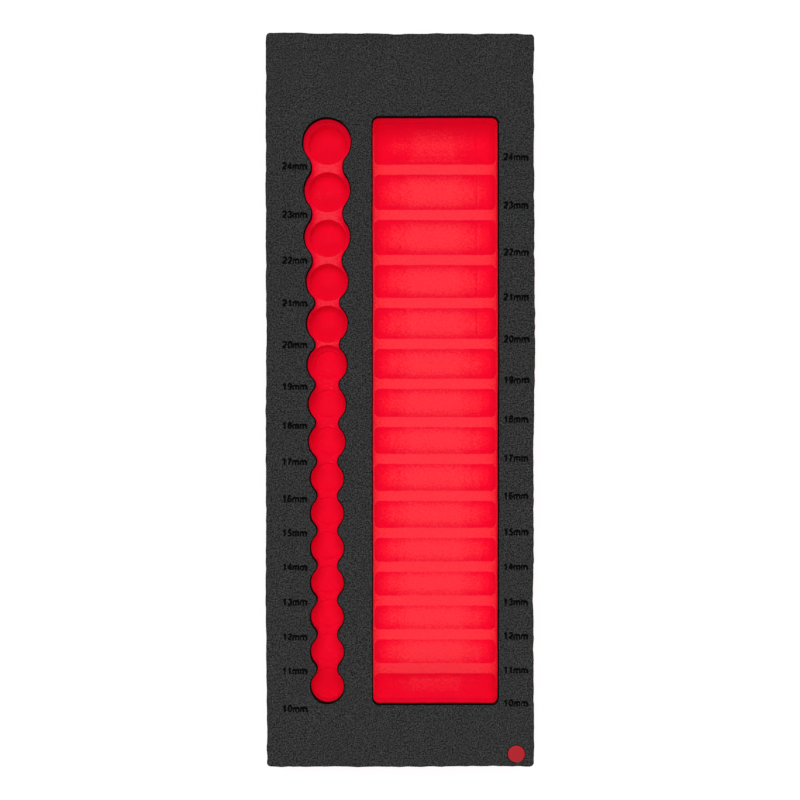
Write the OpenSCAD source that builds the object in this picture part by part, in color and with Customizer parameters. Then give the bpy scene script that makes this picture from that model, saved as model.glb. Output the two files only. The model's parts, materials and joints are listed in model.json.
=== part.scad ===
// Socket organizer insert: a dark foam sheet bonded on a coloured foam block.
// Fifteen round pockets stand short sockets on end, and fifteen troughs lay deep sockets down.
// The origin is the bottom centre. +Y points to the largest sizes and +Z up.

/* [Insert] */
// Width across the drawer
insert_w = 190.5; // [170:0.5:230]
// Length along the drawer
insert_l = 520.7; // [465:0.5:640]
// Radius of the four upright corners
corner_r = 3; // [0.5:0.5:12]
// Thickness of the dark top sheet
sheet_t = 6.35; // [3:0.05:9]
// Thickness of the adhesive film under the sheet
film_t = 0.2; // [0.1:0.05:0.6]
// Thickness of the coloured block
block_t = 31.55; // [30:0.05:60]

/* [Sockets] */
// Outside diameters of the short sockets, 24 mm down to 17 mm
short_d = [33, 31.5, 31.4, 28.8, 28.1, 27.2, 25.6, 25]; // [22:0.1:36]
// Outside diameter that the short sockets from 16 mm down to 10 mm share
short_small_d = 22.4; // [21:0.1:24]
// Outside diameters of the deep sockets, 24 mm down to 15 mm
deep_d = [33.3, 29.6, 29.5, 28.3, 27.1, 26.5, 25.4, 24.8, 24.8, 24.8]; // [22:0.1:36]
// Outside diameter that the deep sockets from 14 mm down to 10 mm share
deep_small_d = 23.1; // [21:0.1:25]
// Length of the deep sockets
deep_len = 82.6; // [70:0.1:90]
// Clearance on the diameter round a socket
fit = 1; // [0.4:0.1:2]
// Clearance on the length of a lying socket
fit_len = 6.3; // [2:0.1:9]

/* [Rows] */
// Distance from the right edge to the channel that holds the troughs
channel_inset = 25.6; // [15:0.1:34]
// Solid foam between the channel and the widest pocket
row_wall = 15.5; // [6:0.1:24]
// How far the middle of both rows lies from the insert's middle, towards the near edge
row_shift = 7.6; // [-10:0.1:20]

/* [Upright pockets] */
// Foam left between neighbours of the eight largest pockets
pocket_gap_large = 0.65; // [0.3:0.05:2.5]
// Foam left between the other pockets
pocket_gap = 1.25; // [0.3:0.05:2.5]
// Fillet of the neck between two of the largest pockets
neck_r_large = 11; // [4:0.5:14]
// Fillet of the neck between two of the other pockets
neck_r = 6.5; // [3:0.5:12]
// Depth of the shelf round the wells, from the top face
shelf_depth = 13.5; // [11:0.1:20]
// Diameter of the wells of the two largest pockets
well_d_large = 28.4; // [20:0.1:31]
// Diameter of the other three wells
well_d = 26.6; // [18:0.1:28]
// Depth of the low floor under the smaller pockets, from the top face
low_depth = 23; // [21.5:0.1:24.5]
// Diameter of the seats sunk in the low floor
seat_d = 20.3; // [12:0.1:22]
// Depth of the wells and the seats, from the top face
pocket_depth = 25.4; // [24.8:0.1:30]

/* [Troughs] */
// Depth of the ridges between the troughs, from the top face
ridge_depth = 25.4; // [20:0.1:27]
// Width of the flat top of a ridge
ridge_w = 6.9; // [4:0.1:9]
// Flat left between each end of the channel and the trough beside it
end_land = 0.4; // [0.2:0.1:4]
// Height of a lying socket's axis above the ridges
axis_h = 8.2; // [7.6:0.1:9.4]
// Radius that the cutter leaves in the corners of the channel and of its troughs
cutter_r = 4.2; // [1:0.2:7]
// Length of the shallower stretch under the drive ends of the largest deep sockets
drive_len = 16; // [8:0.5:30]
// How much less that stretch is cut away in radius
drive_step = 0.6; // [0.2:0.1:1.5]

/* [Label] */
// Diameter of the blank round label
label_d = 12; // [6:0.5:16]
// Thickness of the label, sunk flush in the top sheet
label_t = 0.3; // [0.1:0.05:1]
// Distance from the right edge to the middle of the label
label_inset_x = 12.6; // [9:0.1:17]
// Distance from the near edge to the middle of the label
label_inset_y = 9; // [9:0.1:30]

/* [Hidden] */
$fn = 96;
// How far a cut runs past the face that it opens
eps = 1;
// How far the cutter's corners stand outside a trough's edges
over = 0.1;
// How far a neck's fillet circles bite into the pockets that they blend
bite = 0.05;
// Counts of the short and of the deep sockets that share a diameter
small_shorts = 7;
small_deeps = 5;
// Counts of the largest sizes that have a wide neck, a large well, a well, and a drive step
wide_necks = 3;
large_wells = 2;
wells = 5;
drive_steps = 5;

total_t = block_t + film_t + sheet_t;
pockets = concat([for (d = short_d) d + fit], [for (i = [1:small_shorts]) short_small_d + fit]);
berths = concat([for (d = deep_d) d + fit], [for (i = [1:small_deeps]) deep_small_d + fit]);
troughs = [for (d = berths) chord(d / 2, axis_h)];
channel_w = deep_len + fit_len;
last = len(pockets) - 1;
pocket_gaps = [for (i = [1:last]) i < len(short_d) ? pocket_gap_large : pocket_gap];
ridges = [for (i = [1:last]) ridge_w];
pocket_row_l = place(pockets, pocket_gaps, last) + pockets[last] / 2;
channel_l = place(troughs, ridges, last) + troughs[last] / 2 + 2 * end_land;
channel_x = insert_w / 2 - channel_inset - channel_w / 2;
pocket_x = channel_x - channel_w / 2 - row_wall - max(pockets) / 2;

// Width of a circle at a height over its centre
function chord(r, h) = 2 * sqrt(r * r - h * h);
// Distance from the start of a row to the middle of one of its places
function place(widths, gaps, i) =
    i == 0 ? widths[0] / 2
    : place(widths, gaps, i - 1) + (widths[i - 1] + widths[i]) / 2 + gaps[i - 1];
function pocket_y(i) = pocket_row_l / 2 - row_shift - place(pockets, pocket_gaps, i);
function trough_y(i) = channel_l / 2 - row_shift - end_land - place(troughs, ridges, i);

module rounded(w, l, r) {
    square([w - 2 * r, l], center = true);
    square([w, l - 2 * r], center = true);
    for (x = [-1, 1], y = [-1, 1])
        translate([x * (w / 2 - r), y * (l / 2 - r)]) circle(r);
}

// Neck from pocket i to the next one, with a fillet circle on each side that blends into both
module neck(i) {
    f = i < wide_necks ? neck_r_large : neck_r;
    r1 = pockets[i] / 2 + f - bite;
    r2 = pockets[i + 1] / 2 + f - bite;
    c = pocket_y(i) - pocket_y(i + 1);
    along = (r1 * r1 - r2 * r2 + c * c) / (2 * c);
    across = sqrt(r1 * r1 - along * along);
    translate([0, pocket_y(i)]) difference() {
        polygon([[0, 0], [across, -along], [0, -c], [-across, -along]]);
        for (s = [-1, 1])
            translate([s * across, -along]) circle(f);
    }
}

// Outline of the pockets from one to another, with the necks that join them
module pocket_row(from, to) {
    translate([pocket_x, 0]) {
        for (i = [from:to])
            translate([0, pocket_y(i)]) circle(d = pockets[i]);
        for (i = [from:to - 1])
            neck(i);
    }
}

module channel_outline() {
    translate([channel_x, -row_shift]) rounded(channel_w, channel_l, cutter_r);
}

module insert_outline() {
    rounded(insert_w, insert_l, corner_r);
}

// What goes through the sheet and the film
module cut_outs() {
    pocket_row(0, last);
    channel_outline();
}

// Raises an outline from one depth under the top face to a smaller one
module level(deep, shallow = -eps) {
    translate([0, 0, total_t - deep]) linear_extrude(deep - shallow) children();
}

// Round bar that lies along a trough, of the radius that its stretch is cut to
module bar(r, length) {
    translate([0, 0, total_t - ridge_depth + axis_h])
        rotate([0, 90, 0]) cylinder(r = r, h = length);
}

// Round bars that cut one trough, with the shallower stretch under its drive end
module trough_bars(i) {
    r = berths[i] / 2;
    deep_l = i < drive_steps ? channel_w - drive_len : channel_w + eps;
    translate([-channel_w / 2 - eps, 0, 0]) bar(r, deep_l + eps);
    if (i < drive_steps)
        translate([channel_w / 2 - drive_len, 0, 0]) bar(r - drive_step, drive_len + eps);
}

module trough(i) {
    r = berths[i] / 2;
    translate([channel_x, trough_y(i), 0]) intersection() {
        translate([0, 0, total_t - ridge_depth - r]) linear_extrude(r + eps)
            rounded(channel_w, troughs[i] + 2 * over, cutter_r);
        trough_bars(i);
    }
}

// Round holes of the pockets from one to another
module rounds(from, to, d) {
    for (i = [from:to])
        translate([pocket_x, pocket_y(i)]) circle(d = d);
}

module pocket_cuts() {
    level(shelf_depth) pocket_row(0, last);
    level(low_depth, shelf_depth) pocket_row(wells, last);
    level(pocket_depth, low_depth) rounds(wells, last, seat_d);
    level(pocket_depth, shelf_depth) {
        rounds(0, large_wells - 1, well_d_large);
        rounds(large_wells, wells - 1, well_d);
    }
}

module base_block() {
    color("#f01428") difference() {
        linear_extrude(block_t) insert_outline();
        pocket_cuts();
        level(ridge_depth) channel_outline();
        for (i = [0:last])
            trough(i);
    }
}

module bond_film() {
    color("#f0b4b4") translate([0, 0, block_t]) linear_extrude(film_t) difference() {
        insert_outline();
        cut_outs();
    }
}

module label_place(depth) {
    translate([insert_w / 2 - label_inset_x, label_inset_y - insert_l / 2, total_t - depth])
        children();
}

module top_sheet() {
    color("#343434") difference() {
        translate([0, 0, block_t + film_t]) linear_extrude(sheet_t) difference() {
            insert_outline();
            cut_outs();
        }
        label_place(label_t) cylinder(d = label_d, h = label_t + eps);
    }
}

module blank_label() {
    color("#d81e28") label_place(label_t) cylinder(d = label_d, h = label_t);
}

base_block();
bond_film();
top_sheet();
blank_label();
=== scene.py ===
import json
import math

import bpy
import numpy as np
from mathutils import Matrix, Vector, geometry, kdtree, noise
from mathutils.bvhtree import BVHTree


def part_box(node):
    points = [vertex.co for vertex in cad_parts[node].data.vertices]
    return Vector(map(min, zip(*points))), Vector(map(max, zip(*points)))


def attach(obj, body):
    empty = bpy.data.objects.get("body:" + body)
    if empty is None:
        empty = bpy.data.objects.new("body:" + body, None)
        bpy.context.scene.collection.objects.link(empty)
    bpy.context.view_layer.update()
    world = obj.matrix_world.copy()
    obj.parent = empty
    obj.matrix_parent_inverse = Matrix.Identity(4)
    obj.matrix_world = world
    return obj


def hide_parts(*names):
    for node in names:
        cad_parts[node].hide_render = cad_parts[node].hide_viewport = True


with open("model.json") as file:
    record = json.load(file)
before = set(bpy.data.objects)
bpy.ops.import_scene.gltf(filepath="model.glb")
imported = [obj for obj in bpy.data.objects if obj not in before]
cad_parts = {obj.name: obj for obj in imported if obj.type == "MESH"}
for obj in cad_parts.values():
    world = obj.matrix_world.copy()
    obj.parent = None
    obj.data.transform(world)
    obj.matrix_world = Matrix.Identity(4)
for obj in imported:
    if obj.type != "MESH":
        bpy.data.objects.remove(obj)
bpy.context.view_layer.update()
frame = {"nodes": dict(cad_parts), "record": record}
mm = 0.001  # lengths are in millimetres until a mesh is made
tiny = 1e-12  # keeps a division by no length from failing
down = Vector((0, 0, -1))


# Measuring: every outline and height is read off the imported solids

def castTree(*nodes):
    corners, sides = [], []
    for node in nodes:
        mesh = frame["nodes"][node].data
        sides += [[len(corners) + v for v in p.vertices] for p in mesh.polygons]
        corners += [v.co / mm for v in mesh.vertices]
    return BVHTree.FromPolygons(corners, sides)


def reach(tree, x, y, z, way):
    return tree.ray_cast(Vector((x, y, z)), Vector(way))[3]


def heightAt(tree, x, y):
    above = 100  # well over the part
    return above - reach(tree, x, y, above, down)


def roundReach(tree, x, y, z, headings):
    # facets lie inside a round wall, so the longest ray gives its true radius
    return max(reach(tree, x, y, z, (math.cos(a), math.sin(a), 0)) for a in headings)


blockTree = castTree("base_block")
sheetTree = castTree("top_sheet")
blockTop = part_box("base_block")[1].z / mm
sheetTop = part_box("top_sheet")[1].z / mm
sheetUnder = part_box("top_sheet")[0].z / mm
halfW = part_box("top_sheet")[1].x / mm
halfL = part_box("top_sheet")[1].y / mm
openings = frame["record"]["physics"]["openings"]
measuring = {
    "underRim": 1,  # how far below a rim its outline is measured
    "facing": 0.4,  # half the angle, in radians, over which a pocket's left side is measured
    "fan": 16,  # rays in that half, and in the other half
    "around": 48,  # rays round a hole
    "cutterOver": 0.1,  # how far the trough cutter's corners stand outside the trough
    "neckR": (3, 15, 0.5),  # least radius, most radius and step in which a neck's fillet is tried
    "fromWalls": 10,  # start of the ray into the channel's corner, from both walls
    "underRidge": 0.02,  # how far under the ridges a trough's width is measured
    "fromEnd": 5,  # where a drive end's stretch is measured, from the channel's wall
    "walk": 0.25,  # steps in which the start of that stretch is looked for
    "leastStep": 0.1,  # a smaller step counts as none
}


def middleOf(opening):
    low, high = opening["box_m"]
    return (low[0] + high[0]) / 2 / mm, (low[1] + high[1]) / 2 / mm


def measurePocket(opening):
    x, y = middleOf(opening)
    # a pocket is measured to its left, where no other one opens into it
    fan, around = measuring["fan"], measuring["around"]
    sides = [math.pi + measuring["facing"] * k / fan for k in range(-fan, fan + 1)]
    allRound = [math.tau * k / around for k in range(around)]
    floor = heightAt(blockTree, x, y)
    r = roundReach(blockTree, x, y, blockTop - measuring["underRim"], sides)
    holeR = roundReach(blockTree, x, y, floor + measuring["underRim"], allRound)
    ledge = heightAt(blockTree, x - (r + holeR) / 2, y)
    return {"x": x, "y": y, "r": r, "holeR": holeR, "floor": floor, "ledge": ledge}


def neckCentre(a, b, f):
    # centre of the fillet circle between two pockets, from the middle of the first one
    r1 = a["r"] + f
    r2 = b["r"] + f
    c = a["y"] - b["y"]
    along = (r1 * r1 - r2 * r2 + c * c) / (2 * c)
    return math.sqrt(r1 * r1 - along * along), along


def measureNeck(a, b):
    def miss(f):
        across, along = neckCentre(a, b, f)
        z = blockTop - measuring["underRim"]
        seen = reach(blockTree, a["x"], a["y"] - along, z, (-1, 0, 0))
        return abs(across - f - seen)

    return min(np.arange(*measuring["neckR"]).tolist(), key=miss)


def measureChannel(opening):
    x, y = middleOf(opening)
    z = blockTop - measuring["underRim"]
    w = roundReach(blockTree, x, y, z, (0, math.pi))
    l = roundReach(blockTree, x, y, z, (math.pi / 2, -math.pi / 2))
    inside = measuring["fromWalls"]
    diagonal = (math.sqrt(0.5), math.sqrt(0.5), 0)
    ray = reach(blockTree, x + w - inside, y + l - inside, z, diagonal)
    cornerR = (inside * math.sqrt(2) - ray) / (math.sqrt(2) - 1)
    return {"x": x, "y": y, "w": w, "l": l, "cornerR": cornerR}


def measureTrough(opening):
    y = middleOf(opening)[1]
    half = reach(blockTree, channel["x"], y, ridgeTop - measuring["underRidge"], (0, 1, 0))
    floor = heightAt(blockTree, channel["x"], y)
    deep = ridgeTop - floor
    r = (half**2 + deep**2) / (2 * deep)
    stepX = channel["x"] + channel["w"]
    step = heightAt(blockTree, stepX - measuring["fromEnd"], y) - floor
    if step < measuring["leastStep"]:
        step = 0
    while step and heightAt(blockTree, stepX - measuring["walk"], y) > floor + step / 2:
        stepX -= measuring["walk"]
    return {"y": y, "half": half, "r": r, "axis": floor + r, "step": step, "stepX": stepX}


stated = {o["name"]: o for o in openings}
sizeNames = [n.split("_")[1] for n in stated if n.startswith("pocket_") and n.endswith("mm")]
pockets = [measurePocket(stated["pocket_" + s]) for s in sizeNames]
necks = [measureNeck(a, b) for a, b in zip(pockets, pockets[1:])]
channel = measureChannel(stated["channel"])
troughY = [middleOf(stated["trough_" + s])[1] for s in sizeNames]
ridgeTop = heightAt(blockTree, channel["x"], (troughY[0] + troughY[1]) / 2)
troughs = [measureTrough(stated["trough_" + s]) for s in sizeNames]
lowLedge = min(p["ledge"] for p in pockets) + measuring["underRim"]
firstLow = next(i for i, p in enumerate(pockets) if p["ledge"] < lowLedge)
print("measured", len(pockets), "pockets and", len(troughs), "troughs")


# Outlines in plan

plan = {
    "arcGap": 0.85,  # spacing of points round an arc
    "lineGap": 1.3,  # spacing of points on a straight edge
    "ring": 0.42,  # distance of the extra row of points on each side of an edge
    "ringNear": 0.8,  # least distance of such a point from any other, in rings
    "fieldNear": 0.6,  # least distance of another point, in spacings of its field
    "shortest": 0.1,  # points nearer to the next one are left out of an offset loop
    "snap": 0.02,  # points nearer than this become one
    "fine": 1.65,  # spacing of points on the cut surfaces
    "coarse": 7,  # spacing where two layers hide the surface
    "row": 1.9,  # height of a row of faces on a wall
    "rowClear": 0.5,  # least height of a row beside the rows at a wall's edges
    "lowWall": 2.2,  # a wall that is lower, in rings, gets no extra rows
    "sheet": 2,  # spacing of points on the sheet's top
    "endLedge": (0.9, 0.3),  # ledges that the cutter leaves at a trough's left and right ends
}
troughX = channel["x"] + (plan["endLedge"][0] - plan["endLedge"][1]) / 2  # middle of the troughs
troughW = channel["w"] - sum(plan["endLedge"]) / 2  # half of their length
insert = {
    "cornerR": 3,  # radius of the four upright corners
}


def arc(x, y, r, start, end):
    n = max(2, round(abs(end - start) * r / plan["arcGap"]))
    turns = [start + (end - start) * k / n for k in range(n + 1)]
    return [(x + r * math.cos(t), y + r * math.sin(t)) for t in turns]


def straight(a, b):
    n = max(1, round(math.dist(a, b) / plan["lineGap"]))
    return [(a[0] + (b[0] - a[0]) * k / n, a[1] + (b[1] - a[1]) * k / n) for k in range(n + 1)]


def roundedBox(w, l, r):
    points = []
    for sx, sy, start in ((1, 1, 0), (-1, 1, 1), (-1, -1, 2), (1, -1, 3)):
        bend = arc(sx * (w - r), sy * (l - r), r, start * math.pi / 2, (start + 1) * math.pi / 2)
        if points:
            points += straight(points[-1], bend[0])
        points += bend
    return points + straight(points[-1], points[0])


def circle(x, y, r):
    return arc(x, y, r, 0, math.tau)


def pocketRow(first):
    # the right side from the far end on, as pocket arcs joined by the necks' fillets, and then the
    # same mirrored
    side = []
    into = math.pi / 2
    for i, p in enumerate(pockets):
        if i > 0:
            across, along = neckCentre(pockets[i - 1], p, necks[i - 1])
            into = math.atan2(pockets[i - 1]["y"] - p["y"] - along, across)
            if i > first:
                y = pockets[i - 1]["y"] - along
                side += arc(across, y, necks[i - 1], leave + math.pi, into + math.pi)
            elif i == first:
                side += arc(0, p["y"], p["r"], math.pi / 2, into)
        if i + 1 < len(pockets):
            across, along = neckCentre(p, pockets[i + 1], necks[i])
            leave = math.atan2(-along, across)
        else:
            leave = -math.pi / 2
        if i >= first:
            side += arc(0, p["y"], p["r"], into, leave)
    x = pockets[0]["x"]
    return [(x - a, b) for a, b in side] + [(x + a, b) for a, b in reversed(side)]


def troughTip(t):
    # half the straight part of a trough's end, where its corners start to bend
    return t["half"] + measuring["cutterOver"] - channel["cornerR"]


def troughOutline(t):
    r, w, tip = channel["cornerR"], troughW, troughTip(t)
    lean = math.asin((t["half"] - tip) / r)
    bend = arc(w - r, tip, r, 0, lean)
    quarter = straight((w, 0), (w, tip)) + bend + straight(bend[-1], (0, t["half"]))
    half = quarter + [(-a, b) for a, b in reversed(quarter)]
    loop = half + [(a, -b) for a, b in reversed(half)]
    return [(troughX + a, t["y"] + b) for a, b in loop]


def channelOutline():
    # its long sides have points beside the ends of the troughs
    w, l, r = channel["w"], channel["l"], channel["cornerR"]
    side = [(w, -(l - r))]
    for t in reversed(troughs):
        y = t["y"] - channel["y"]
        tip = troughTip(t)
        for stop in (y - tip, y, y + tip):
            side += straight(side[-1], (w, stop))
    side += straight(side[-1], (w, l - r))
    far = arc(w - r, l - r, r, 0, math.pi / 2)
    far += straight(far[-1], (r - w, l - r + r)) + arc(r - w, l - r, r, math.pi / 2, math.pi)
    near = [(a, -b) for a, b in reversed(far)]
    loop = side + far + [(-a, b) for a, b in reversed(side)] + near
    return [(channel["x"] + a, channel["y"] + b) for a, b in loop]


def within(points, loop):
    # which of many points lie inside a closed loop
    p = np.array(loop)
    near = np.flatnonzero(np.all((points > p.min(0)) & (points < p.max(0)), axis=1))
    px, py = points[near, 0], points[near, 1]
    inside = np.zeros(len(near), bool)
    for (ax, ay), (bx, by) in zip(p, np.roll(p, -1, 0)):
        if ay != by:
            crosses = (ay > py) != (by > py)
            inside ^= crosses & (px < (bx - ax) * (py - ay) / (by - ay) + ax)
    every = np.zeros(len(points), bool)
    every[near] = inside
    return every


def offset(loop, out):
    # the same loop moved outwards, or inwards where out is negative
    p = np.array(loop)
    p = p[np.linalg.norm(np.roll(p, -1, 0) - p, axis=1) > plan["shortest"]]
    along = np.roll(p, -1, 0) - np.roll(p, 1, 0)
    along /= np.linalg.norm(along, axis=1)[:, None]
    return [tuple(q) for q in p + out * np.c_[along[:, 1], -along[:, 0]]]


def hexPoints(loop, gap):
    # an even field of points inside a loop, clear of its edge
    p = np.array(loop)
    (x0, y0), (x1, y1) = p.min(0), p.max(0)
    made = []
    for k, y in enumerate(np.arange(y0 + gap / 2, y1, gap * math.sqrt(3) / 2)):
        xs = np.arange(x0 + gap / 2 + (k % 2) * gap / 2, x1, gap)
        made.append(np.c_[xs, np.full(len(xs), y)])
    made = np.vstack(made)
    return made[within(made, loop)]


def triangulate(loops, fields, lines=()):
    # points and triangles that follow every loop; a field is its points and their least distance
    spots, edges, cells = [], [], {}
    precise, sliver = 1e-4, 1e-9
    for k, loop in enumerate(list(loops) + list(lines)):
        ids = []
        for x, y in loop:
            cx, cy = round(x / plan["snap"]), round(y / plan["snap"])
            found = [cells.get((cx + a, cy + b)) for a in (0, -1, 1) for b in (0, -1, 1)]
            found = [f for f in found if f is not None]
            if not found:
                found = [len(spots)]
                cells[cx, cy] = len(spots)
                spots.append((x, y))
            ids.append(found[0])
        ends = ids[1:] + ids[:1] if k < len(loops) else ids[1:]
        edges += [(a, b) for a, b in zip(ids, ends) if a != b]
    for points, least in fields:
        tree = kdtree.KDTree(len(spots))
        for k, (x, y) in enumerate(spots):
            tree.insert((x, y, 0), k)
        tree.balance()
        spots += [(x, y) for x, y in points if tree.find((x, y, 0))[2] > least]
    made = geometry.delaunay_2d_cdt([Vector(p) for p in spots], edges, [], 0, precise)
    corners = np.array([v[:] for v in made[0]])
    faces = np.array(made[2])
    a, b, c = (corners[faces[:, k]] for k in range(3))
    ab, ac = b - a, c - a
    turn = ab[:, 0] * ac[:, 1] - ab[:, 1] * ac[:, 0]
    faces[turn < 0] = faces[turn < 0][:, ::-1]
    return corners, faces[abs(turn) > sliver]


# Solids from a plan: each area has its own height, and walls join areas whose heights differ

def column(heights):
    # where the points of a wall stand over one point of the plan
    fixed = sorted(set(heights))
    made = [fixed[0]]
    row, clear = plan["row"], plan["rowClear"]
    for low, high in zip(fixed, fixed[1:]):
        if high - low > plan["lowWall"] * plan["ring"]:
            start, end = low + plan["ring"], high - plan["ring"]
            rows = [k * row for k in range(int(start / row), int(end / row) + 1)]
            made += [start] + [z for z in rows if start + clear < z < end - clear] + [end]
        made.append(high)
    return made


def zipUp(left, right):
    # triangles between two columns of points
    made = []
    i = j = 0
    while i + 1 < len(left) or j + 1 < len(right):
        if j + 1 == len(right) or (i + 1 < len(left) and left[i + 1][1] <= right[j + 1][1]):
            made.append((left[i][0], right[j][0], left[i + 1][0]))
            i += 1
        else:
            made.append((left[i][0], right[j][0], right[j + 1][0]))
            j += 1
    return made


def solidFrom(top, areas, bottom, under):
    # top and bottom are plans that share their rims; areas are loops with a height, where a later
    # one goes over an earlier one, and no height cuts through; each face also gets the number of
    # its area, or -1 on walls and the underside
    slack = 1e-4
    vertexOf, points, faces, areaIds = {}, [], [], []
    stacks, sides = {}, {}
    corners, tris = top
    middles = corners[tris].mean(axis=1)
    areaOf = np.full(len(tris), -1)
    for k, (loop, height) in enumerate(areas):
        areaOf[within(middles, loop)] = k if height is not None else -1

    def place(spot, z):
        key = round(spot[0], 3), round(spot[1], 3), round(z, 3)
        if key not in vertexOf:
            vertexOf[key] = len(points)
            points.append((spot[0], spot[1], z))
        return vertexOf[key]

    for tri, k in zip(tris.tolist(), areaOf.tolist()):
        if k < 0:
            continue
        height = areas[k][1]
        zs = [round(height(*corners[c]) if callable(height) else height, 3) for c in tri]
        faces.append([place(corners[c], z) for c, z in zip(tri, zs)])
        areaIds.append(k)
        for (a, za), (b, zb) in zip(zip(tri, zs), zip(tri[1:] + tri[:1], zs[1:] + zs[:1])):
            sides[a, b] = za, zb
            stacks.setdefault(a, set()).add(za)
            stacks.setdefault(b, set()).add(zb)
    for a, b in sides:
        if (b, a) not in sides:
            stacks[a].add(under)
            stacks[b].add(under)
    stacks = {a: column(zs) for a, zs in stacks.items()}
    for (a, b), (za, zb) in sides.items():
        lowB, lowA = sides.get((b, a), (under, under))
        if za + zb <= lowA + lowB:
            continue
        left = [(place(corners[a], z), z) for z in stacks[a] if lowA - slack <= z <= za + slack]
        right = [(place(corners[b], z), z) for z in stacks[b] if lowB - slack <= z <= zb + slack]
        made = zipUp(left, right)
        faces += made
        areaIds += [-1] * len(made)
    corners, tris = bottom
    middles = corners[tris].mean(axis=1)
    kept = within(middles, areas[0][0])
    for loop, height in areas:
        if height is None:
            kept &= ~within(middles, loop)
    for tri in tris[kept].tolist():
        faces.append([place(corners[c], under) for c in reversed(tri)])
        areaIds.append(-1)
    return np.array(points), np.array(faces), np.array(areaIds)


# Foam: its cut edges, its waves and how open its faces are, which the red foam's colour takes as
# painted shade

def areaNormals(points, faces):
    # the outward normal of each face, twice as long as the face is large
    a, b, c = (points[faces[:, k]] for k in range(3))
    return np.cross(b - a, c - a)


def gathered(values, points, faces):
    # adds up at each point what its faces give
    total = np.zeros_like(points)
    for k in range(3):
        np.add.at(total, faces[:, k], values)
    return total


def unit(vectors):
    return vectors / (np.linalg.norm(vectors, axis=1)[:, None] + tiny)


def evened(values, faces, held):
    # shares a value out among the neighbours that are held
    for k in range(foam["evening"]):
        shared, count = values.copy(), np.ones(len(values))
        for a, b in ((0, 1), (1, 2), (2, 0)):
            both = held[faces[:, a]] & held[faces[:, b]]
            for start, end in ((a, b), (b, a)):
                np.add.at(shared, faces[both, start], values[faces[both, end]])
                np.add.at(count, faces[both, start], 1)
        values = shared / count[:, None]
    return values


def softened(points, faces, firm, pull=1):
    # draws each crease towards its neighbours, as a cut foam edge gives; firm heights stay sharp
    summed = gathered(unit(areaNormals(points, faces)), points, faces)
    meets = np.bincount(faces.ravel(), minlength=len(points))
    total = np.zeros_like(points)
    for k in range(3):
        for other in (faces[:, (k + 1) % 3], faces[:, (k + 2) % 3]):
            np.add.at(total, faces[:, k], points[other])
    crease = np.linalg.norm(summed, axis=1) / meets < foam["creaseCosine"]
    for z in firm:
        crease &= abs(points[:, 2] - z) > foam["level"]
    move = pull * (total / (2 * meets)[:, None] - points) * crease[:, None]
    move = evened(move, faces, crease)
    long = np.linalg.norm(move, axis=1)[:, None] + tiny
    return points + move * np.minimum(1, foam["edgeGive"] / long)


foam = {
    "edgeGive": 0.4,  # how far a cut edge may be drawn in
    "evening": 3,  # times that this give is evened out among neighbours
    "creaseCosine": 0.965,  # how bent a surface is before it counts as an edge
    "sharp": 58,  # angle in degrees over which an edge is drawn sharp
    "level": 0.01,  # how near a height counts as that height
    # length and size of each of the waves in a knife-cut side
    "waves": ((110, 1.3), (26, 0.55), (7, 0.42), (1.8, 0.14)),
    "upright": 0.25,  # how fast the waves change with height, against along the side
    "milled": 0.3,  # share of those waves that the milled cuts have
    "sideBand": 9,  # how far in from the sides they fade to that share, from halfway on
    "swell": ((14, 0.09), (3.5, 0.05)),  # length and size of the rise and fall of a cut face
    "swellFrom": 50,  # height in the noise at which the swell starts
    "seed": 136,  # start of the waves, which makes every run the same
}
noise.seed_set(foam["seed"])


def wandered(points, flat):
    # every piece moves by the same field, so that the layers stay in line; flat heights stay flat
    made = points.copy()
    for k, (x, y, z) in enumerate(points.tolist()):
        dx = dy = dz = 0
        inward = min(halfW - abs(x), halfL - abs(y)) / foam["sideBand"]
        share = foam["milled"] + (1 - foam["milled"]) * min(1, max(0, 2 - 2 * inward))
        for long, size in foam["waves"]:
            n = noise.noise_vector(Vector((x, y, foam["upright"] * z)) / long)
            dx += share * size * n.x
            dy += share * size * n.y
        if all(abs(z - f) > foam["level"] for f in flat):
            for long, size in foam["swell"]:
                dz += size * noise.noise(Vector((x, y, z + foam["swellFrom"])) / long)
        made[k] += (dx, dy, dz)
    return made


# How much sky each cut face sees; the red foam's colour takes it as painted shade, a deeper red
# where less sky is seen
sky = {
    "leans": (0.35, 0.75),  # how far from upright, in radians, the sky is looked for
    "around": 10,  # directions at each lean
    "upShare": 0.5,  # weight of straight up, where every other direction weighs its lean
    "lift": 0.5,  # how far off the surface a look starts, and how far past a cut's edge it is done
    "far": 60,  # how far a look goes
    "overFloor": 1,  # the part's underside, up to this height, is left out
    "sideOpen": 0.85,  # how open the outer sides count
    "paintedRidgeLight": 0.07,  # painted light: how much more open the ridges count, which makes them paler
    "ridgeShade": 0.5,  # share of the painted shade from the channel's walls that the ridges keep
    "ridgeBand": 0.3,  # how far under its top a ridge gets that painted light
    "endClear": 1,  # distance from the channel's end walls at which that starts
    "cornerShade": 0.15,  # painted shade: how much less open a trough's corners count, which darkens them
    "lineShade": 0.16,  # painted shade: how much less open the line at a drive end counts, which darkens it
    "lineShare": 0.75,  # share of the trough's width that the line is seen on
}


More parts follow.
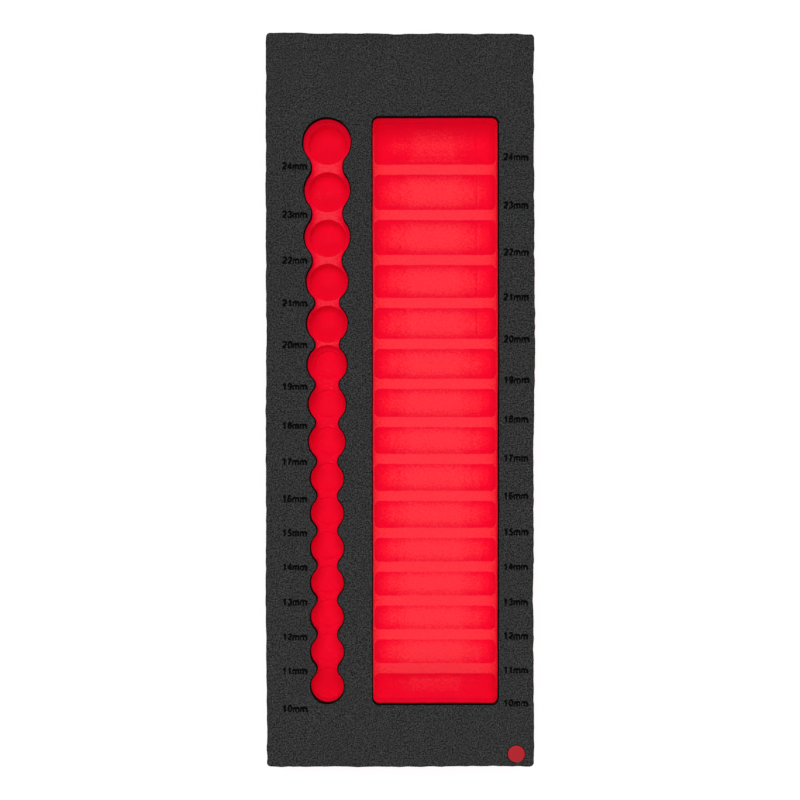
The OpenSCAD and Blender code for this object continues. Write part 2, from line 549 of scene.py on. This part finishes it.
def openness(points, faces, loops):
    # how much of the sky overhead each point of the cuts sees, 1 on an open level face
    normals = unit(gathered(areaNormals(points, faces), points, faces))
    ways = [(Vector((0, 0, 1)), sky["upShare"])]
    for lean in sky["leans"]:
        for k in range(sky["around"]):
            turn = math.tau * (k + lean) / sky["around"]
            flat, rise = math.sin(lean), math.cos(lean)
            ways.append((Vector((flat * math.cos(turn), flat * math.sin(turn), rise)), lean))
    most = sum(weight * way.z for way, weight in ways)
    seen = np.full(len(points), sky["sideOpen"])
    cut = np.zeros(len(points), bool)
    for loop in loops:
        cut |= within(points[:, :2], offset(loop, sky["lift"]))
    cut &= points[:, 2] > sky["overFloor"]
    trees = BVHTree.FromPolygons(points.tolist(), faces.tolist()), sheetTree
    for k in np.flatnonzero(cut):
        normal = Vector(normals[k])
        start = Vector(points[k]) + sky["lift"] * normal
        seen[k] = 0
        for way, weight in ways:
            light = weight * normal.dot(way)
            if light > 0 and not any(tree.ray_cast(start, way, sky["far"])[0] for tree in trees):
                seen[k] += light / most
    return seen


def addMesh(name, points, faces, materials, slots=None):
    mesh = bpy.data.meshes.new(name)
    mesh.from_pydata((points * mm).tolist(), [], faces.tolist())
    mesh.validate()
    for material in materials:
        mesh.materials.append(material)
    if slots is not None:
        mesh.polygons.foreach_set("material_index", slots.astype(np.int32))
    mesh.shade_smooth()
    mesh.set_sharp_from_angle(angle=math.radians(foam["sharp"]))
    piece = bpy.data.objects.new(name, mesh)
    bpy.context.scene.collection.objects.link(piece)
    return piece


# Outlines of the block and of what is cut in it

outline = roundedBox(halfW, halfL, insert["cornerR"])
allPockets = pocketRow(0)
lowPockets = pocketRow(firstLow)
holes = [circle(p["x"], p["y"], p["holeR"]) for p in pockets]
channelLoop = channelOutline()
troughLoops = [troughOutline(t) for t in troughs]

drive = {
    "shift": 2.2,  # how much nearer the end the rise stands than in the plain solid
    "ramp": 0.5,  # length over which a trough rises to the stretch under the drive ends
    "bite": 0.3,  # depth of the line that the cutter digs at the foot of that rise
    "onLine": 0.1,  # how near that line a point counts as on it
    "endRound": 5.5,  # length of the hollow curve that the cutter leaves at a trough's end
    "endDepth": 0.45,  # share of a trough's depth that is left at its very end
}
for t in troughs:
    t["foot"] = t["stepX"] + drive["shift"]  # where the rise starts


def troughHeight(t):
    def height(x, y):
        rise = 0
        if t["step"]:
            rise = t["step"] * min(1, max(0, (x - t["foot"]) / drive["ramp"]))
            if abs(x - t["foot"]) < drive["onLine"]:
                rise = -drive["bite"]
        away = (y - t["y"]) / t["half"]
        rise *= max(0, 1 - away * away)  # the trough keeps its width at the ridges
        deep = max(0, ridgeTop - t["axis"] + math.sqrt(t["r"] ** 2 - (y - t["y"]) ** 2) - rise)
        near = max(0, 1 - (troughW - abs(x - troughX)) / drive["endRound"])
        left = drive["endDepth"] + (1 - drive["endDepth"]) * math.sqrt(max(0, 1 - near * near))
        return ridgeTop - deep * left

    return height


def stepLines(t):
    # lines of the plan that the step at a drive end follows
    near, far = t["y"] - t["half"], t["y"] + t["half"]
    return [straight((x, near), (x, far)) for x in (t["foot"], t["foot"] + drive["ramp"])]


def fieldsFor(loops, fills):
    # rows of points a little to each side of a loop let its edge be rounded
    gap = plan["ring"]
    least = plan["ringNear"] * gap
    made = [(offset(loop, side * gap), least) for loop in loops for side in (-1, 1)]
    return made + [(hexPoints(loop, gap), plan["fieldNear"] * gap) for loop, gap in fills]


cutLoops = [allPockets, lowPockets, channelLoop] + holes + troughLoops
blockAreas = [(outline, blockTop), (allPockets, pockets[0]["ledge"])]
blockAreas.append((lowPockets, pockets[-1]["ledge"]))
blockAreas += [(loop, p["floor"]) for loop, p in zip(holes, pockets)]
blockAreas.append((channelLoop, ridgeTop))
blockAreas += [(loop, troughHeight(t)) for loop, t in zip(troughLoops, troughs)]
steps = [line for t in troughs if t["step"] for line in stepLines(t)]
fills = [(allPockets, plan["fine"]), (channelLoop, plan["fine"]), (outline, plan["coarse"])]
blockPlan = triangulate([outline] + cutLoops, fieldsFor(cutLoops, fills), steps)
rimFields = fieldsFor([], [(outline, plan["coarse"])])
blockBottom = triangulate([outline], rimFields)
points, faces = solidFrom(blockPlan, blockAreas, blockBottom, 0)[:2]
print("block", len(points), "points,", len(faces), "faces")
# painted shade: each point's openness to the sky is kept for the red foam's colour
paintedShadeOpenness = openness(points, faces, (allPockets, channelLoop))
# painted light: the ridges count as more open, so they are paler, and keep only part of the walls'
# painted shade
paintedRidgeLight = within(points[:, :2], channelLoop) & (points[:, 2] > ridgeTop - sky["ridgeBand"])
paintedRidgeLight &= abs(points[:, 1] - channel["y"]) < channel["l"] - sky["endClear"]
paintedShadeOpenness[paintedRidgeLight] = 1 + sky["paintedRidgeLight"] - sky["ridgeShade"] * (1 - paintedShadeOpenness[paintedRidgeLight])
inTrough = points[:, 2] < ridgeTop - measuring["underRidge"]
# painted shade: the troughs' corners count as less open, so they are darker
for t in troughs:
    away = abs(points[:, 1] - t["y"])
    paintedShadeCorner = inTrough & (abs(points[:, 0] - troughX) > troughW - channel["cornerR"])
    paintedShadeOpenness[paintedShadeCorner & (away > troughTip(t)) & (away < t["half"])] -= sky["cornerShade"]
    # painted shade: the line at the foot of a drive end's rise counts as less open, so it is darker
    if t["step"]:
        foot = inTrough & (abs(points[:, 0] - t["foot"]) < drive["onLine"])
        paintedShadeOpenness[foot & (away < sky["lineShare"] * t["half"])] -= sky["lineShade"]
print("openness", round(float(paintedShadeOpenness.mean()), 3))
points = wandered(softened(points, faces, (0, blockTop)), (0, blockTop))
blockMesh = points, faces


# Size marks burnt into the sheet

mark = {
    "height": 4.8,  # height of the figures
    "stroke": 0.235,  # thickness of a stroke, for figures 1 high
    "figure": 0.74,  # room that a figure takes, for figures 1 high
    "letter": 1.12,  # room that the letter m takes
    "depth": 0.5,  # how far a mark is burnt into the foam
    "leftX": -83.8,  # start of the marks beside the pockets
    "rightX": 73.4,  # start of the marks beside the troughs
    "turn": 24,  # angle in degrees between the points of a curve
    # how far along the insert the middle of each mark is, from the largest size down
    "leftY": (
        166.2, 132.1, 99.4, 68.9, 39.1, 9.3, -18.4, -44.0,
        -70.3, -94.4, -118.5, -143.4, -168.2, -192.4, -219.3,
    ),
    "rightY": (
        172.6, 138.5, 105.1, 73.2, 43.3, 14.2, -13.5, -41.1,
        -68.1, -93.7, -118.5, -143.4, -167.5, -191.7, -215.1,
    ),
}


def bow(x, y, rx, ry, start, end):
    # points on part of an oval, from one angle in degrees to another
    n = max(3, round(abs(end - start) / mark["turn"]))
    turns = [math.radians(start + (end - start) * k / n) for k in range(n + 1)]
    return [(x + rx * math.cos(t), y + ry * math.sin(t)) for t in turns]


def ring(x, y, rx, ry):
    # two halves of an oval, which overlap a little
    return [bow(x, y, rx, ry, -5, 185), bow(x, y, rx, ry, 175, 365)]


strokes = {  # the middle lines of each sign's strokes, for figures 1 high
    "0": ring(0.39, 0.5, 0.235, 0.41),
    "1": [[(0.46, 0), (0.46, 1)], [(0.47, 0.93), (0.38, 0.8), (0.2, 0.71)]],
    "2": [
        bow(0.385, 0.69, 0.225, 0.22, 168, -30) + [(0.42, 0.38), (0.22, 0.2), (0.16, 0.08)],
        [(0.11, 0.085), (0.64, 0.085)],
    ],
    "3": [bow(0.375, 0.705, 0.2, 0.205, 158, -90), bow(0.375, 0.3, 0.235, 0.215, 90, -160)],
    "4": [[(0.5, 0), (0.5, 1)], [(0.5, 0.95), (0.13, 0.3)], [(0.06, 0.29), (0.7, 0.29)]],
    "5": [
        [(0.24, 0.915), (0.64, 0.915)],
        [(0.275, 0.95), (0.21, 0.48)],
        bow(0.375, 0.315, 0.235, 0.23, 135, -155),
    ],
    "6": ring(0.4, 0.31, 0.225, 0.225) + [bow(0.42, 0.5, 0.255, 0.41, 48, 200)],
    "7": [[(0.1, 0.915), (0.67, 0.915)], [(0.63, 0.9), (0.46, 0.66), (0.35, 0.35), (0.31, 0)]],
    "8": ring(0.39, 0.715, 0.19, 0.2) + ring(0.39, 0.3, 0.235, 0.215),
    "9": ring(0.38, 0.69, 0.225, 0.225) + [bow(0.36, 0.5, 0.255, 0.41, 228, 380)],
    "m": [
        [(0.15, 0), (0.15, 0.725)],
        bow(0.355, 0.45, 0.205, 0.19, 175, 0) + [(0.56, 0)],
        bow(0.765, 0.45, 0.205, 0.19, 175, 0) + [(0.97, 0)],
    ],
}


def ribbon(path):
    # outline of a stroke of even thickness along a path
    p = np.array(path)
    steps = np.diff(p, axis=0)
    steps /= np.linalg.norm(steps, axis=1)[:, None]
    sides = np.c_[-steps[:, 1], steps[:, 0]]
    before, after = np.vstack([sides[:1], sides]), np.vstack([sides, sides[-1:]])
    mitre = before + after
    mitre /= (mitre * before).sum(axis=1)[:, None]
    half = mark["stroke"] / 2 * mitre
    return np.vstack([p - half, (p + half)[::-1]])


def markLoops(words, x, y):
    # the outlines of all strokes of a mark that starts at x and has its middle at y
    made = []
    high = mark["height"]
    for sign in words:
        for path in strokes[sign]:
            made.append([(x + high * a, y + high * (b - 0.5)) for a, b in ribbon(path)])
        x += high * mark["letter" if sign == "m" else "figure"]
    return made


marksCut = []
for k, name in enumerate(sizeNames):
    marksCut += markLoops(name, mark["leftX"], mark["leftY"][k])
    marksCut += markLoops(name, mark["rightX"], mark["rightY"][k])
print("marks", len(marksCut), "strokes")


# The dark sheet, with the place of the label sunk in it

labelLow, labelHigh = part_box("blank_label")
label = {
    "x": (labelLow.x + labelHigh.x) / 2 / mm,
    "y": (labelLow.y + labelHigh.y) / 2 / mm,
    "r": (labelHigh.x - labelLow.x) / 2 / mm,
    "under": labelLow.z / mm,
    "gap": 0.08,  # clearance round it
    "proud": 0.12,  # how far its middle stands over the sheet
    "crown": 0.03,  # how much lower it is at its edge than in its middle
    "edge": 0.25,  # radius of its pressed edge
    "groove": 0.8,  # distance of its pressed line from the edge
    "grooveHalf": 0.2,  # half the width of that line
    # the line's shape: distance from its middle, and depth
    "pressed": ((-0.1, 0.06), (0, 0.11), (0.1, 0.06), (0.2, 0.03)),
}
labelLoop = circle(label["x"], label["y"], label["r"] + label["gap"])
sheet = {
    "paintedShadeRim": 0.75,  # painted shade: width of the near-black rim round the cut-outs
    "paintedShadeSide": 0.5,  # painted shade: the same round the outer sides
    "pull": 2.2,  # how strongly its thin cut edges are drawn in, against the block's
}
inside = offset(outline, -sheet["paintedShadeSide"])
paintedShadeBands = [offset(loop, sheet["paintedShadeRim"]) for loop in (allPockets, channelLoop)]
sheetAreas = [(loop, sheetTop) for loop in (outline, inside, *paintedShadeBands)]
dark = {0, 2, 3}  # areas drawn near-black: the outline's rim and the bands, which are painted shade; the marks are added below
sheetAreas.append((labelLoop, label["under"]))
for loop in marksCut:
    dark.add(len(sheetAreas))
    sheetAreas.append((loop, sheetTop - mark["depth"]))
sheetAreas += [(allPockets, None), (channelLoop, None)]
sheetLoops = [outline, allPockets, channelLoop]
fields = fieldsFor(sheetLoops, [(outline, plan["sheet"])])
sheetPlan = triangulate(sheetLoops + [inside] + paintedShadeBands + [labelLoop] + marksCut, fields)
sheetBottom = triangulate(sheetLoops, rimFields)
points, faces, areaIds = solidFrom(sheetPlan, sheetAreas, sheetBottom, sheetUnder)
print("sheet", len(points), "points,", len(faces), "faces")
# near-black faces: the burnt marks and their walls, and painted shade on the rims and the cut walls
markOrShadeFaces = np.isin(areaIds, list(dark))
heights = points[faces][:, :, 2]
middles = points[faces].mean(axis=1)[:, :2]
walls = areaIds < 0
markOrShadeFaces |= walls & (heights.min(axis=1) > sheetTop - mark["depth"] - foam["level"])
# painted shade: the walls of the cut-outs are drawn near-black too
markOrShadeFaces |= walls & (heights.max(axis=1) > sheetUnder) & within(middles, inside)
firm = sheetUnder, sheetTop - mark["depth"], label["under"]
points = wandered(softened(points, faces, firm, sheet["pull"]), (sheetUnder,))
sheetMesh = points, faces, markOrShadeFaces.astype(int)


# The adhesive film between the two foams

film = {
    "back": 0.08,  # how far it stands back from the cut edges of the foam
}
filmAreas = [(outline, sheetUnder), (allPockets, None), (channelLoop, None)]
filmPlan = triangulate(sheetLoops, rimFields)
points, faces = solidFrom(filmPlan, filmAreas, filmPlan, blockTop)[:2]
sideways = areaNormals(points, faces) * (1, 1, 0)
push = unit(gathered(sideways, points, faces))
filmMesh = wandered(points - film["back"] * push, (sheetUnder, blockTop)), faces


# The blank label: a thin pressed disc, turned about its middle

def turned(profile, x, y, around=96):
    points = [(x, y, profile[0][1])]
    for r, z in profile[1:-1]:
        turns = [math.tau * k / around for k in range(around)]
        points += [(x + r * math.cos(t), y + r * math.sin(t), z) for t in turns]
    points.append((x, y, profile[-1][1]))
    rings = len(profile) - 2
    faces = []
    for k in range(around):
        n = (k + 1) % around
        faces.append((0, 1 + k, 1 + n))
        for j in range(rings - 1):
            a, b = 1 + j * around, 1 + (j + 1) * around
            faces += [(a + k, b + k, b + n), (a + k, b + n, a + n)]
        last = 1 + (rings - 1) * around
        faces.append((len(points) - 1, last + n, last + k))
    return np.array(points), np.array(faces)


def labelProfile():
    # distance from the middle and height of each ring of points, from the top down to the underside
    r, edge, top = label["r"], label["edge"], sheetTop + label["proud"]
    line, crown = r - label["groove"], label["crown"]
    rows, bend = 8, 4  # rings of points over its middle, and round its edge
    made = [(0, top)]
    for k in range(1, rows + 1):
        made.append(((line - label["grooveHalf"]) * k / rows, top - crown * (k / rows) ** 2))
    made += [(line + across, top - deep) for across, deep in label["pressed"]]
    for k in range(bend + 1):
        turn = k * math.pi / 2 / bend
        made.append((r - edge + edge * math.sin(turn), top - crown - edge + edge * math.cos(turn)))
    return made + [(r, label["under"]), (r - edge, label["under"]), (0, label["under"])]


labelMesh = turned(labelProfile(), label["x"], label["y"])
print("film and label made")


# Materials

def linear(code):
    # an sRGB hex value as linear red, green, blue and alpha
    parts = [int(code[k : k + 2], 16) / 255 for k in (1, 3, 5)]
    return [c / 12.92 if c <= 0.04045 else ((c + 0.055) / 1.055) ** 2.4 for c in parts] + [1]


def add(tree, kind, links=None, **settings):
    made = tree.nodes.new("ShaderNode" + kind)
    for key, value in settings.items():
        setattr(made, key, value)
    for socket, value in (links or {}).items():
        if isinstance(value, bpy.types.NodeSocket):
            tree.links.new(value, made.inputs[socket])
        else:
            made.inputs[socket].default_value = value
    return made


def newMaterial(name):
    material = bpy.data.materials.new(name)
    material.use_nodes = True
    material.node_tree.nodes.clear()
    return material, material.node_tree


def blend(tree, factor, a, b):
    # sockets 0, 6, 7 and 2 are the factor, both colours and the result
    links = {0: factor, 6: a, 7: b}
    return add(tree, "Mix", links, data_type="RGBA", clamp_factor=True).outputs[2]


def foamMaterial(name, look):
    # cells seen as a fine grain, over slow cloudy changes in how dense the foam is; cell, cloud and
    # pit are their size and depth in millimetres
    # (MapRange has its low and high end in sockets 1 and 2, and what they become in 3 and 4)
    material, tree = newMaterial(name)
    where = add(tree, "TexCoord").outputs["Object"]
    fine = {"Vector": where, "Scale": 1 / (look["cell"] * mm), "Detail": 3, "Roughness": 0.62}
    cells = add(tree, "TexNoise", fine)
    spread = look["cellSpread"]
    contrast = {"Value": cells.outputs[0], 1: 0.5 - spread, 2: 0.5 + spread}
    grain = add(tree, "MapRange", contrast).outputs[0]
    slow = {"Vector": where, "Scale": 1 / (look["cloud"] * mm), "Detail": 2}
    cloud = add(tree, "TexNoise", slow).outputs[0]
    low, high = 0.3, 0.7  # nearly all the noise lies between these
    cloudy = add(tree, "MapRange", {"Value": cloud, 1: low, 2: high}).outputs[0]
    even = blend(tree, grain, linear(look["dark"]), linear(look["pale"]))
    share = add(tree, "Math", {0: cloudy, 1: look["cloudShare"]}, operation="MULTIPLY").outputs[0]
    colour = blend(tree, share, even, linear(look["dense"]))
    if "speck" in look:
        low, high = look["speckAt"]
        finer = {"Vector": where, "Scale": look["speckFiner"] / (look["cell"] * mm), "Detail": 1}
        bright = add(tree, "TexNoise", finer).outputs[0]
        glints = add(tree, "MapRange", {"Value": bright, 1: low, 2: high}).outputs[0]
        colour = blend(tree, glints, colour, linear(look["speck"]))
    # painted shade: a deeper colour is mixed in where the 'open' attribute says a face sees little
    # sky
    if "paintedShadeColour" in look:
        low, high = look["paintedShadeAt"]
        seen = add(tree, "Attribute", attribute_name="open").outputs["Fac"]
        spotty = {0: grain, 1: look["paintedShadeGrain"], 2: seen}
        paintedShadeInput = add(tree, "Math", spotty, operation="MULTIPLY_ADD").outputs[0]
        paintedShadeInput = {"Value": paintedShadeInput, 1: low, 2: high}
        paintedShadeMix = add(tree, "MapRange", paintedShadeInput, interpolation_type="SMOOTHSTEP").outputs[0]
        colour = blend(tree, paintedShadeMix, linear(look["paintedShadeColour"]), colour)
    sway = 0.06  # how much the grain changes the roughness
    uneven = {"Value": grain, 3: look["rough"] + sway, 4: look["rough"] - sway}
    rough = add(tree, "MapRange", uneven).outputs[0]
    deep = {"Height": cells.outputs[0], "Strength": look["pitted"], "Distance": look["pit"] * mm}
    pits = add(tree, "Bump", deep).outputs[0]
    shader = add(tree, "BsdfPrincipled", {
        "Base Color": colour, "Roughness": rough, "IOR": look["ior"], "Normal": pits,
        "Specular IOR Level": look["specular"], "Diffuse Roughness": 0.6,
        # painted light: a glow, which only the red foam is given
        "Emission Color": linear(look.get("paintedGlowColour", "#000000")),
        "Emission Strength": look.get("glow", 0),
    })
    add(tree, "OutputMaterial", {"Surface": shader.outputs[0]})
    return material


# Milled red cross-linked polyethylene foam: a bright even colour with a faint grain and no gloss,
# and painted shade that deepens the red where a face sees less sky.
redFoam = foamMaterial("milledRedPolyethyleneFoam", {
    "dark": "#fb3446", "pale": "#ff404f", "dense": "#fd3a4a",
    "paintedShadeColour": "#f50a36",  # painted shade: the deeper red where a face sees little sky
    "paintedShadeAt": (0.66, 1.1),  # openness at which a face has the painted shade colour, and the open one
    "paintedShadeGrain": 0.2,  # how much the grain sways that
    "cell": 1.3,  # its cells are about 0.4 mm, drawn coarser so that they show
    "cellSpread": 0.17, "cloud": 26, "cloudShare": 0.3,
    "rough": 0.85, "ior": 1.5, "specular": 0.04, "pitted": 0.35, "pit": 0.16,
    "glow": 0.03, "paintedGlowColour": "#ff0000",  # painted light: a faint red glow, which lifts the red where the foam is in shade
})

# Charcoal cross-linked polyethylene foam, as skived: dark grey with a salt and pepper grain.
charcoalFoam = foamMaterial("skivedCharcoalPolyethyleneFoam", {
    "dark": "#020202", "pale": "#424243", "dense": "#232323",
    "speck": "#646464",  # cell walls that catch the light
    "speckFiner": 1.5,  # how many times smaller than the cells these are
    "speckAt": (0.62, 0.74),  # where in the noise they start, and where they are full
    "cell": 1.0,  # its cells are about 0.4 mm, drawn coarser so that they show
    "cellSpread": 0.11, "cloud": 30, "cloudShare": 0.15,
    "rough": 0.85, "ior": 1.5, "specular": 0.2, "pitted": 0.5, "pit": 0.2,
})

# The same foam melted by a laser, for the burnt marks, and as painted shade on the sheet's rims and
# cut walls: a near-black, slightly closed skin with blurred cells.
marksAndEdgeShadeFoam = foamMaterial("burntMarksAndPaintedEdgeShade", {
    "dark": "#000000", "pale": "#060606", "dense": "#020202",
    "cell": 1.0,  # beads of melted foam, drawn coarser so that they show
    "cellSpread": 0.2, "cloud": 8, "cloudShare": 0.3,
    "rough": 0.8, "ior": 1.5, "specular": 0.06, "pitted": 0.3, "pit": 0.1,
})

# Heat-set acrylic adhesive film: a pale pinkish milky line with small air bubbles.
adhesiveFilm = foamMaterial("heatSetAcrylicAdhesiveFilm", {
    "dark": "#d98a8a", "pale": "#f0b9b4", "dense": "#e6a5a1",
    "cell": 0.9,  # bubbles of about 0.2 mm, drawn coarser so that they show
    "cellSpread": 0.2, "cloud": 12, "cloudShare": 0.4,
    "rough": 0.4, "ior": 1.48, "specular": 0.4, "pitted": 0.2, "pit": 0.05,
})

# Printed vinyl label stock, pressed from a sheet: a satin red with a faint orange-peel surface.
labelVinyl = foamMaterial("pressedSatinVinyl", {
    "dark": "#b4101f", "pale": "#c01826", "dense": "#b81321",
    "cell": 0.8,  # orange peel of about 0.3 mm, drawn coarser so that it shows
    "cellSpread": 0.25, "cloud": 9, "cloudShare": 0.3,
    "rough": 0.5, "ior": 1.53, "specular": 0.18, "pitted": 0.1, "pit": 0.03,
})


# Pieces

def dressed(name, mesh, materials, node):
    points, faces, *slots = mesh
    piece = addMesh(name, points, faces, materials, *slots)
    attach(piece, "root")
    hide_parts(node)
    print(name, len(faces), "faces")
    return piece


block = dressed("redFoamBlock", blockMesh, [redFoam], "base_block")
# painted shade: the openness is stored on the block for its colour
paintedShadeAttribute = block.data.attributes.new("open", "FLOAT", "POINT")
paintedShadeAttribute.data.foreach_set("value", paintedShadeOpenness.astype(np.float32))
greys = [charcoalFoam, marksAndEdgeShadeFoam]
dressed("charcoalFoamSheet", sheetMesh, greys, "top_sheet")
dressed("bondFilm", filmMesh, [adhesiveFilm], "bond_film")
dressed("blankLabel", labelMesh, [labelVinyl], "blank_label")


# Floor, light and camera

studio = {  # lengths in metres
    "world": 0.46,  # level of the even light from all round
    "lamps": {  # place, share of the light on the part, and size of each soft lamp
        "overhead": ((0.0, 1.5, 6.2), 0.44, 3.4),
        "front": ((-0.2, -2.3, 2.1), 0.11, 1.5),
    },
    "glow": 0.85,  # how much brighter the camera sees the floor than it is lit
    "floorSize": 24,
    "floorUnder": 0.0002,  # how far the floor lies below the part
    "floorColours": ("#787878", "#808080"),
    "floorSpeckle": 1 / 60,  # size of the faint changes between them
    "distance": 1.2,  # from the camera to the sheet's top face
    "view": 0.568,  # width of the picture at that face
}

# Matt paint on a floor: a plain pale ground, which keeps the part's shadow.
paintedFloor, tree = newMaterial("mattePaintedFloor")
where = add(tree, "TexCoord").outputs["Object"]
spotty = {"Vector": where, "Scale": 1 / studio["floorSpeckle"], "Detail": 2}
speckle = add(tree, "TexNoise", spotty).outputs[0]
pale = blend(tree, speckle, *[linear(code) for code in studio["floorColours"]])
matt = {"Base Color": pale, "Roughness": 0.9, "Specular IOR Level": 0.1}
paint = add(tree, "BsdfPrincipled", matt)
ray = add(tree, "LightPath").outputs
either = {0: ray["Is Camera Ray"], 1: ray["Is Glossy Ray"]}
direct = add(tree, "Math", either, operation="MAXIMUM").outputs[0]
level = add(tree, "Math", {0: direct, 1: studio["glow"]}, operation="MULTIPLY")
glow = add(tree, "Emission", {"Strength": level.outputs[0]})
both = add(tree, "AddShader", {0: paint.outputs[0], 1: glow.outputs[0]})
add(tree, "OutputMaterial", {"Surface": both.outputs[0]})

floorMesh = bpy.data.meshes.new("floor")
side, z = studio["floorSize"] / 2, -studio["floorUnder"]
corners = [(-side, -side, z), (side, -side, z), (side, side, z), (-side, side, z)]
floorMesh.from_pydata(corners, [], [(0, 1, 2, 3)])
floorMesh.materials.append(paintedFloor)
floor = bpy.data.objects.new("floor", floorMesh)
bpy.context.scene.collection.objects.link(floor)

world = bpy.data.worlds.new("studio")
world.use_nodes = True
tree = world.node_tree
tree.nodes.clear()
ray = add(tree, "LightPath").outputs["Is Camera Ray"]
shown = {0: ray, 1: 1 - studio["world"], 2: studio["world"]}  # plain white behind the floor
strength = add(tree, "Math", shown, operation="MULTIPLY_ADD").outputs[0]
even = add(tree, "Background", {"Color": (1, 1, 1, 1), "Strength": strength})
add(tree, "OutputWorld", {"Surface": even.outputs[0]})
bpy.context.scene.world = world

for name, (place, level, size) in studio["lamps"].items():
    far = Vector(place).length
    data = bpy.data.lights.new(name, "AREA")
    data.shape = "DISK"
    data.size = size
    # watts that give that share on a level face
    data.energy = level * (math.pi * far) ** 2 * far / place[2]
    lamp = bpy.data.objects.new(name, data)
    lamp.location = place
    lamp.rotation_euler = (-Vector(place)).to_track_quat("-Z", "Y").to_euler()
    bpy.context.scene.collection.objects.link(lamp)

cameraData = bpy.data.cameras.new("photo")
cameraData.lens = cameraData.sensor_width * studio["distance"] / studio["view"]
camera = bpy.data.objects.new("photo", cameraData)
camera.location = (0, 0, sheetTop * mm + studio["distance"])
bpy.context.scene.collection.objects.link(camera)
bpy.context.scene.camera = camera
bpy.context.scene.view_settings.view_transform = "Standard"
print("floor, light and camera placed")
